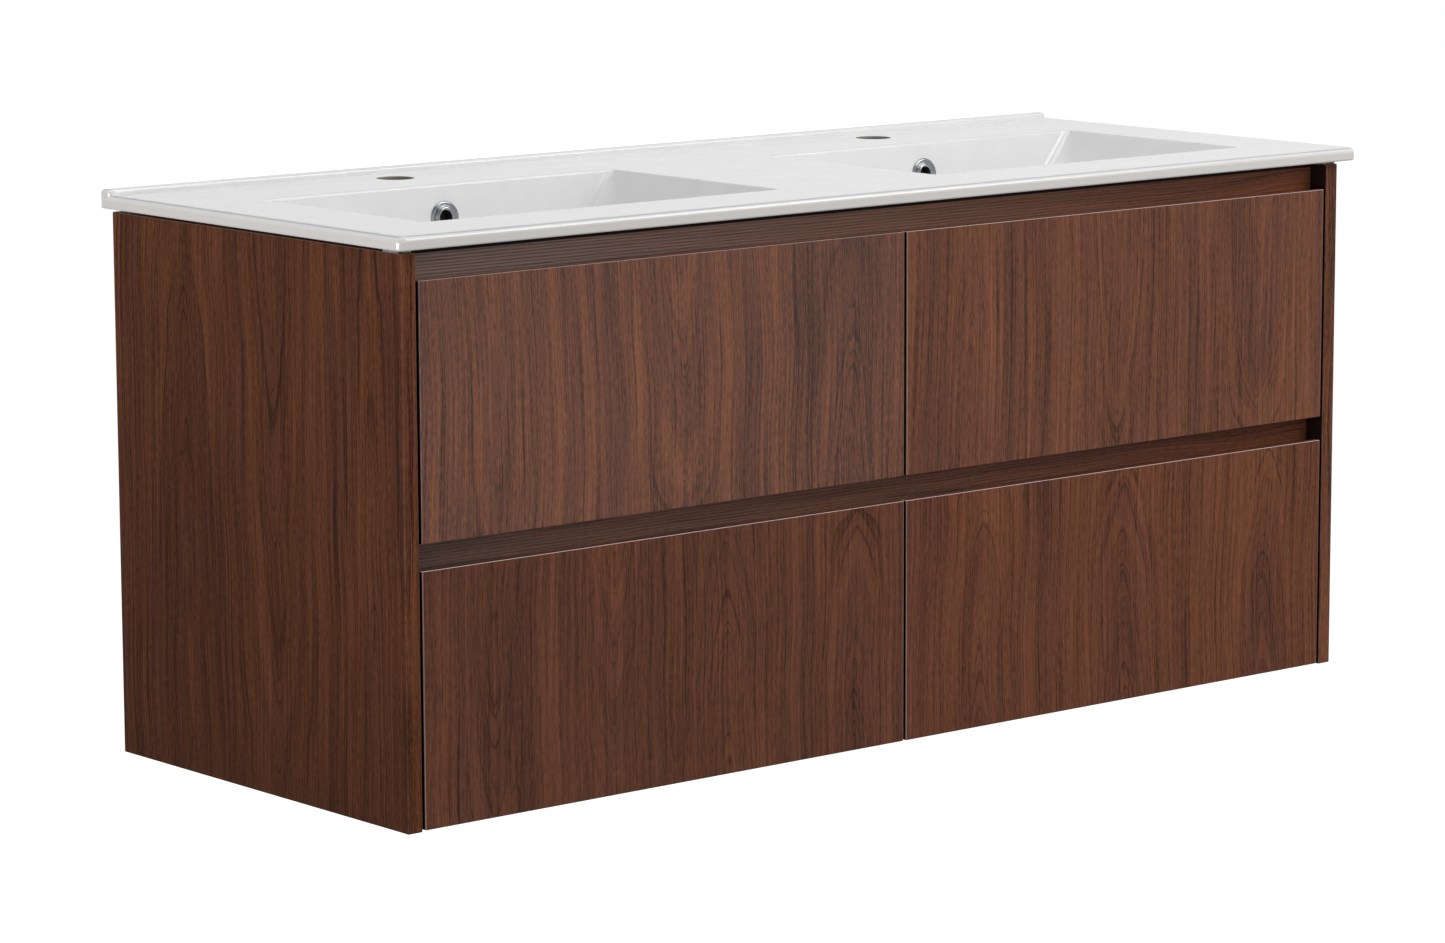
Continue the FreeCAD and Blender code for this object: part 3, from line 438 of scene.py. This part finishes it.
def glaze(name):
    """White vitreous china: a deep gloss glaze, and a duller, drier skin underneath, with painted shade on
    the slab's outer edge, a painted dark reflection where it turns over, and painted shade in the holes.
    """
    graph = Graph(name)
    place = graph.coordinates("Object")
    normal_z = graph.coordinates("Normal")[2]
    slow = graph.cloud(place, 0.035)
    fine = graph.cloud(place, 0.004)
    below = graph.math("MULTIPLY", graph.remap(normal_z, -0.25, -0.6), graph.remap(fine, 0.2, 0.8, 0.7, 1.0))
    edge = slab_edge(graph, place)
    # Painted shade on the slab's outer edge faces
    upright = graph.math("MULTIPLY", edge, graph.remap(normal_z, 0.62, 0.12))
    # Painted dark reflection where the edge turns over
    turn = graph.math("ABSOLUTE", graph.math("SUBTRACT", normal_z, EDGE_TURN[0]))
    turn = graph.math("MULTIPLY", edge, graph.remap(turn, EDGE_TURN[1], 0.0, 0.0, 0.75))
    # Bare clay inside the holes, toned dark as painted shade
    clay_and_shade = graph.math("MAXIMUM", tap_hole_wall(graph, place), channel_wall(graph, place))

    color = graph.mix(graph.remap(slow, 0.3, 0.7), *GLAZE_WHITE)
    color = graph.mix(below, color, GLAZE_UNDERSIDE)
    color = graph.mix(upright, color, graph.mix(slow, *GLAZE_EDGE_SHADE))
    color = graph.mix(turn, color, GLAZE_TURN_SHADE)
    color = graph.mix(clay_and_shade, color, graph.mix(fine, *BARE_CLAY_AND_SHADE))
    rough = graph.remap(fine, 0.3, 0.7, 0.07, 0.11)
    rough = graph.blend(below, rough, 0.45)
    rough = graph.blend(clay_and_shade, rough, 0.8)
    graph.bump(graph.math("MULTIPLY_ADD", fine, 0.08, slow), 0.0002, 0.08)
    graph.set(Base_Color=color, Roughness=rough, IOR=1.52)
    return graph.material


def slab_edge(graph, place):
    """1 round the front and the ends of the slab, where the outer faces get painted shade and the turn a
    painted dark reflection.
    """
    sideways = graph.math("GREATER_THAN", graph.math("ABSOLUTE", place[0]), SLAB_EDGE[0])
    forwards = graph.math("LESS_THAN", place[1], -SLAB_EDGE[1])
    return graph.math("MAXIMUM", sideways, forwards)


def tap_hole_wall(graph, place):
    """1 inside the tap holes, whose walls are left unglazed and toned dark as painted shade."""
    x = graph.math("SUBTRACT", graph.math("ABSOLUTE", place[0]), TAP_HOLE[0])
    y = graph.math("SUBTRACT", place[1], TAP_HOLE[1])
    square = graph.math("ADD", graph.math("MULTIPLY", x, x), graph.math("MULTIPLY", y, y))
    return graph.math("LESS_THAN", square, TAP_HOLE[2] ** 2)


def channel_wall(graph, place):
    """1 in the mouth of each overflow channel, behind its ring, where no glaze reaches and the clay is toned
    dark as painted shade.
    """
    x = graph.math("SUBTRACT", graph.math("ABSOLUTE", place[0]), RING_PLACE[0])
    z = graph.math("SUBTRACT", place[2], RING_PLACE[2])
    square = graph.math("ADD", graph.math("MULTIPLY", x, x), graph.math("MULTIPLY", z, z))
    near = graph.math("LESS_THAN", square, CHANNEL_RADIUS**2)
    behind = graph.math("GREATER_THAN", place[1], RING_PLACE[1] + CLAY_DEPTH)
    return graph.math("MULTIPLY", near, behind)


def chrome(name):
    """Polished chrome plate with faint wiping marks, and bare dark plastic inside the sleeve."""
    graph = Graph(name)
    x, y, z = graph.coordinates("Object")
    wipe = graph.grain(z, x, 0.0004, 0.006, 3.0, detail=3.0)
    cloud = graph.cloud((x, y, z), 0.009)
    plate = graph.mix(cloud, (0.31, 0.32, 0.335), (0.40, 0.41, 0.425))
    plastic = graph.mix(wipe, (0.012, 0.012, 0.013), (0.030, 0.030, 0.031))
    bare = graph.math("LESS_THAN", z, 0.0004)
    graph.bump(wipe, 0.00002, 0.3)
    rough = graph.remap(wipe, 0.3, 0.7, 0.13, 0.21)
    graph.set(
        Base_Color=graph.mix(bare, plate, plastic),
        Metallic=graph.math("SUBTRACT", 1.0, bare),
        Roughness=graph.blend(bare, rough, 0.5),
    )
    return graph.material


def rolled_steel(name):
    """Zinc-plated rolled steel: drawn along the runner, with soft zinc clouds."""
    graph = Graph(name)
    x, y, z = graph.coordinates("Object")
    drawn = graph.grain(graph.math("ADD", x, z), y, 0.0005, 0.09, 2.0, detail=3.0)
    cloud = graph.cloud((x, y, z), 0.018, detail=4.0)
    color = graph.mix(drawn, (0.47, 0.48, 0.50), (0.66, 0.67, 0.69))
    color = graph.mix(graph.remap(cloud, 0.35, 0.65, 0.0, 0.4), color, (0.50, 0.51, 0.545))
    graph.bump(drawn, 0.00003, 0.5)
    graph.set(Base_Color=color, Metallic=1.0, Roughness=graph.remap(cloud, 0.3, 0.7, 0.26, 0.42))
    return graph.material


def zinc(name):
    """Dull zinc of cam locks, brackets and screws, mottled by its passivation."""
    graph = Graph(name)
    place = graph.coordinates("Object")
    spangle = graph.cloud(place, 0.003, detail=4.0)
    tint = graph.cloud(place, 0.011)
    color = graph.mix(graph.remap(spangle, 0.3, 0.7), (0.42, 0.43, 0.44), (0.62, 0.63, 0.64))
    color = graph.mix(graph.remap(tint, 0.45, 0.75, 0.0, 0.25), color, (0.60, 0.57, 0.47))
    graph.bump(spangle, 0.00004, 0.5)
    graph.set(Base_Color=color, Metallic=1.0, Roughness=graph.remap(spangle, 0.3, 0.7, 0.30, 0.48))
    return graph.material


def milky_plastic(name):
    """Soft clear polyurethane that has gone a little milky."""
    graph = Graph(name)
    place = graph.coordinates("Object")
    cloud = graph.cloud(place, 0.004, detail=3.0)
    color = graph.mix(cloud, (0.80, 0.82, 0.82), (0.92, 0.93, 0.92))
    graph.bump(cloud, 0.0001, 0.4)
    graph.set(Base_Color=color, Roughness=graph.remap(cloud, 0.3, 0.7, 0.22, 0.36), IOR=1.49)
    graph.shader.inputs["Transmission Weight"].default_value = 0.75
    return graph.material


# Dressing the CAD nodes


def dress(node, material):
    """Give every material slot of a CAD node the same new material."""
    obj = NODES[node]
    for slot in obj.material_slots:
        slot.material = material


def soften(node):
    """Break a board's sharp edges, so that they catch the light as real ones do."""
    obj = NODES[node]
    weld = obj.modifiers.new("weld", "WELD")
    weld.merge_threshold = 0.00001
    bevel = obj.modifiers.new("edges", "BEVEL")
    bevel.width = EDGE_RADIUS
    bevel.segments = 2
    bevel.limit_method = "ANGLE"
    bevel.angle_limit = math.radians(30)
    bevel.harden_normals = True


def middle_height(node):
    """The height of a node's middle."""
    low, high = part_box(node)
    return (low[2] + high[2]) / 2


def figures_of(node, grain, shares):
    """Turn figures given as shares of the board into distances across its grain."""
    low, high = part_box(node)
    others = [index for index, name in enumerate("xyz") if name != grain]
    start = sum(low[index] for index in others)
    span = sum(high[index] - low[index] for index in others)
    return [(start + share * span, half, rise) for share, half, rise in shares]


# Each upright board: the axis of its edge band's grain, then its figures. A figure is the share of
# the board's width where it stands, its half width, and how fast its arches climb, which open
# upwards if that is positive.
UPRIGHT_BOARDS = {
    "left_side_panel": ("y", [(0.10, 0.045, -0.06), (0.42, 0.085, 0.15), (0.72, 0.075, -0.14)]),
    "right_side_panel": ("y", [(0.25, 0.080, 0.14), (0.63, 0.080, -0.15), (0.90, 0.040, 0.06)]),
    "centre_divider": ("y", [(0.30, 0.060, -0.10), (0.75, 0.060, 0.10)]),
    "upper_left_drawer_front": ("x", [(0.14, 0.045, 0.12), (0.51, 0.055, 0.27), (0.86, 0.050, -0.24)]),
    "upper_right_drawer_front": ("x", [(0.14, 0.045, -0.14), (0.48, 0.060, 0.18), (0.81, 0.055, 0.28)]),
    "lower_left_drawer_front": ("x", [
        (0.14, 0.045, 0.16), (0.37, 0.055, 0.24), (0.60, 0.050, -0.22), (0.87, 0.045, -0.24),
    ]),
    "lower_right_drawer_front": ("x", [(0.17, 0.050, -0.24), (0.50, 0.060, -0.28), (0.84, 0.050, -0.24)]),
}

# Boards whose grain lies along the cabinet. Their only figure stands off the board, which leaves
# the grain straight.
LEVEL_BOARDS = ("top_front_rail", "middle_front_rail", "back_top_rail", "back_bottom_rail", "bottom_panel")
STRAIGHT_GRAIN = [(-2.0, 0.02, 0.0)]

# Each board takes its print from another place in the noise: the first board's, and the next step
UPRIGHT_SEEDS = (11.0, 7.3)
LEVEL_SEEDS = (91.0, 5.1)

# How boards differ: tone and contrast of the print, where the left side panel's lower tone is painted
# shade and the higher tone of the upper fronts and rails is painted light, strength of its growth lines
# (figure), sheen of the clear laminate, depth of its ribs, strength of the painted haze of reflection
# at the left end, painted shade towards the cabinet's bottom, painted light on the front edge band,
# how strongly the painted highlight shows on the rounded edges, which sides (-1 left, 1 right) get
# painted shade near the front, and the height where the painted shadow under the ceramic begins.
PLAIN_BOARD = {
    "tone": 1.0,
    "contrast": 1.0,
    "figure": 1.0,
    "sheen": 0.14,
    "ribs": 0.0,
    "painted_haze": 0.0,
    "foot": 1.0,
    "front_face_light": 1.0,
    "arris_highlight": 0.10,
    "gap_shade_sides": (),
    "shadow_above": 1.0,
}
FRONT = {"arris_highlight": 1.0, "gap_shade_sides": (-1, 1)}
# The left side panel's low tone is painted shade; the upper fronts' and the rails' higher tones are painted
# light
BOARD_CHANGES = {
    "left_side_panel": {
        "tone": 0.745, "contrast": 0.76, "figure": 0.95, "sheen": 0.03, "foot": 0.70, "front_face_light": 1.6,
        "gap_shade_sides": (1,),
    },
    "right_side_panel": {"front_face_light": 1.15, "gap_shade_sides": (-1,)},
    "upper_left_drawer_front": FRONT | {
        "tone": 1.13, "contrast": 1.42, "figure": 0.60, "sheen": 0.50, "arris_highlight": 0.55,
    },
    "upper_right_drawer_front": FRONT | {"tone": 1.13, "contrast": 1.12, "figure": 0.80, "sheen": 0.27},
    "lower_left_drawer_front": FRONT | {"tone": 0.95, "contrast": 0.84, "sheen": 0.16},
    "lower_right_drawer_front": FRONT | {"tone": 1.07, "contrast": 0.95, "sheen": 0.12},
    "top_front_rail": {
        "tone": 1.46, "contrast": 0.9, "sheen": 0.05, "ribs": 0.75, "painted_haze": 0.34, "shadow_above": 0.5112,
    },
    "middle_front_rail": {"tone": 1.03, "contrast": 0.9, "sheen": 0.05, "ribs": 0.5, "painted_haze": 0.14},
}


def dress_boards():
    for index, (node, (edge, shares)) in enumerate(UPRIGHT_BOARDS.items()):
        seed = UPRIGHT_SEEDS[0] + UPRIGHT_SEEDS[1] * index
        dress_board(node, "z", edge, shares, middle_height(node), seed)
    for index, node in enumerate(LEVEL_BOARDS):
        seed = LEVEL_SEEDS[0] + LEVEL_SEEDS[1] * index
        dress_board(node, "x", "y", STRAIGHT_GRAIN, 0.0, seed)


def dress_board(node, grain, edge, shares, middle, seed):
    """Give a board its own walnut, with the changes that its place on the cabinet asks for."""
    figures = figures_of(node, grain, shares)
    board = PLAIN_BOARD | BOARD_CHANGES.get(node, {})
    dress(node, walnut("walnut_" + node, grain, edge, figures, middle, seed, board))
    soften(node)


def dress_rest():
    """Drawer boxes, runners, fittings, pads, the ceramic top and its rings."""
    box_board = linen_melamine("linen_melamine")
    steel = rolled_steel("rolled_steel")
    dull_zinc = zinc("zinc")
    plastic = milky_plastic("milky_plastic")
    for name in NODES:
        if "_box_" in name or name.endswith("plumbing_surround"):
            dress(name, box_board)
            soften(name)
        elif name.endswith("_runners"):
            dress(name, steel)
        elif name.endswith("_screws") or name in ("cam_locks", "corner_brackets", "bracket_screws"):
            dress(name, dull_zinc)
    dress("basin_pads", plastic)
    dress("front_bumpers", plastic)
    dress("ceramic_top", glaze("glazed_china"))
    plate = chrome("chrome_plate")
    for side, word in ((-1, "left"), (1, "right")):
        dress("overflow_ring_" + word, plate)
        add_ring("overflow_ring_" + word, side, plate)


# New pieces


def ring_section():
    """The outline of half the ring, from the sleeve's inner end round to its outer end."""
    section = [(SLEEVE_BORE, SLEEVE_END)]
    for radius, height, half_width, half_height, start, end, steps in RING_ARCS:
        for step in range(steps + 1):
            turn = math.radians(start + (end - start) * step / steps)
            section.append((radius + half_width * math.cos(turn), height + half_height * math.sin(turn)))
    flange_edge = section[-1][0]
    return section + [(flange_edge, FLANGE_BACK), (SLEEVE_RADIUS, FLANGE_BACK), (SLEEVE_RADIUS, SLEEVE_END)]


def lathe(name, section, sides):
    """A mesh turned about its own Z axis from a closed section of (radius, height) in millimetres."""
    points = []
    for side in range(sides):
        angle = 2 * math.pi * side / sides
        for radius, height in section:
            point = Vector((radius * math.cos(angle), radius * math.sin(angle), height))
            points.append(point * MILLIMETRE)
    count = len(section)
    faces = []
    for side in range(sides):
        first, second = side * count, (side + 1) % sides * count
        for row in range(count):
            after = (row + 1) % count
            faces.append((first + row, second + row, second + after, first + after))
    mesh = bpy.data.meshes.new(name)
    mesh.from_pydata(points, [], faces)
    mesh.polygons.foreach_set("use_smooth", [True] * len(mesh.polygons))
    mesh.set_sharp_from_angle(angle=math.radians(40))
    return mesh


def add_ring(node, side, material):
    """The overflow ring with the rolled edges and the groove that its plain CAD shape leaves out."""
    mesh = lathe(node + "_plated", ring_section(), RING_SIDES)
    mesh.materials.append(material)
    ring = bpy.data.objects.new(node + "_plated", mesh)
    bpy.context.scene.collection.objects.link(ring)
    x, y, z = RING_PLACE
    lean = Matrix.Rotation(math.pi / 2 - RING_LEAN, 4, "X")
    ring.matrix_world = Matrix.Translation((side * x, y, z)) @ lean
    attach(ring, "carcass")
    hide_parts(node)


# Stage, light and camera


def add_floor():
    """A pale floor that curves up far away on every side."""
    rings = [0.0, FLOOR_RADIUS]
    levels = [0.0, 0.0]
    for step in range(1, COVE_STEPS + 1):
        turn = math.pi / 2 * step / COVE_STEPS
        rings.append(FLOOR_RADIUS + COVE_RADIUS * math.sin(turn))
        levels.append(COVE_RADIUS * (1 - math.cos(turn)))
    points = []
    for radius, level in zip(rings, levels):
        for side in range(FLOOR_SIDES):
            angle = 2 * math.pi * side / FLOOR_SIDES
            points.append((radius * math.cos(angle), radius * math.sin(angle), FLOOR_LEVEL + level))
    faces = []
    for ring in range(len(rings) - 1):
        for side in range(FLOOR_SIDES):
            after = (side + 1) % FLOOR_SIDES
            low, high = ring * FLOOR_SIDES, (ring + 1) * FLOOR_SIDES
            faces.append((low + side, high + side, high + after, low + after))
    mesh = bpy.data.meshes.new("floor")
    mesh.from_pydata(points, [], faces)
    floor = bpy.data.objects.new("floor", mesh)
    bpy.context.scene.collection.objects.link(floor)
    mesh.materials.append(floor_material())
    floor.visible_diffuse = False
    floor.visible_glossy = False


def floor_material():
    """Matt white paint, seen from above only, so that the cabinet shows from below too."""
    graph = Graph("floor_paint")
    graph.set(Base_Color=(0.35, 0.35, 0.35, 1), Roughness=0.9)
    graph.shader.inputs["Specular IOR Level"].default_value = 0.1
    graph.shader.inputs["Emission Color"].default_value = (1, 1, 1, 1)
    graph.shader.inputs["Emission Strength"].default_value = 0.92
    clear = graph.add("ShaderNodeBsdfTransparent")
    side = graph.add("ShaderNodeNewGeometry")
    either = graph.add("ShaderNodeMixShader")
    graph.feed(either.inputs[0], side.outputs["Backfacing"])
    graph.feed(either.inputs[1], graph.shader.outputs[0])
    graph.feed(either.inputs[2], clear.outputs[0])
    graph.feed(graph.output.inputs[0], either.outputs[0])
    return graph.material


def add_softbox(name, place, target, width, height, power):
    """A rectangular lamp of the given watts that faces its target and isn't seen itself."""
    light = bpy.data.lights.new(name, "AREA")
    light.shape = "RECTANGLE"
    light.size = width
    light.size_y = height
    light.energy = power
    lamp = bpy.data.objects.new(name, light)
    lamp.location = place
    lamp.rotation_euler = (Vector(target) - Vector(place)).to_track_quat("-Z", "Y").to_euler()
    lamp.visible_camera = False
    bpy.context.scene.collection.objects.link(lamp)


def add_lights():
    centre = (cad_low + cad_high) / 2
    add_softbox("overhead", (0.0, -0.3, 2.8), centre, width=2.2, height=1.4, power=26)
    add_softbox("key", (1.6, -2.4, 2.3), centre, width=1.8, height=1.4, power=42)
    add_softbox("side_strip", (-2.5, -0.5, 0.38), (-0.6, -0.23, 0.38), width=1.4, height=0.26, power=14)
    bpy.context.scene.world = studio_sky()
    bpy.context.scene.view_settings.view_transform = "Standard"


def studio_sky():
    """Light from all round, whose brightness depends on how high one looks."""
    world = bpy.data.worlds.new("studio")
    world.use_nodes = True
    tree = world.node_tree
    ramp = tree.nodes.new("ShaderNodeValToRGB")
    place = tree.nodes.new("ShaderNodeTexCoord")
    axes = tree.nodes.new("ShaderNodeSeparateXYZ")
    rise = tree.nodes.new("ShaderNodeMapRange")
    rise.inputs["From Min"].default_value = -1.0
    tree.links.new(place.outputs["Generated"], axes.inputs[0])
    tree.links.new(axes.outputs["Z"], rise.inputs["Value"])
    tree.links.new(rise.outputs[0], ramp.inputs[0])
    tree.links.new(ramp.outputs[0], tree.nodes["Background"].inputs[0])
    for spot, (height, level) in zip(sky_stops(ramp), SKY):
        spot.position = (height + 1) / 2
        spot.color = (level, level, level, 1)
    return world


def sky_stops(ramp):
    """As many stops on the ramp as the sky has levels."""
    stops = ramp.color_ramp.elements
    while len(stops) < len(SKY):
        stops.new(1.0)
    return stops


def add_camera():
    """A long lens in front of the cabinet's left end, a little above it."""
    yaw, pitch, roll = (math.radians(a) for a in (CAMERA_YAW, CAMERA_PITCH, CAMERA_ROLL))
    ahead = Vector(
        (math.sin(yaw) * math.cos(pitch), math.cos(yaw) * math.cos(pitch), -math.sin(pitch))
    )
    level = Vector((math.cos(yaw), -math.sin(yaw), 0))
    above = level.cross(ahead)
    right = level * math.cos(roll) + above * math.sin(roll)
    upward = above * math.cos(roll) - level * math.sin(roll)
    camera = bpy.data.objects.new("camera", bpy.data.cameras.new("camera"))
    camera.data.lens = CAMERA_LENS
    camera.data.clip_end = CAMERA_REACH
    camera.matrix_world = Matrix.Translation(CAMERA_PLACE) @ Matrix(
        (right, upward, -ahead)
    ).transposed().to_4x4()
    bpy.context.scene.collection.objects.link(camera)
    bpy.context.scene.camera = camera


dress_boards()
dress_rest()
add_floor()
add_lights()
add_camera()
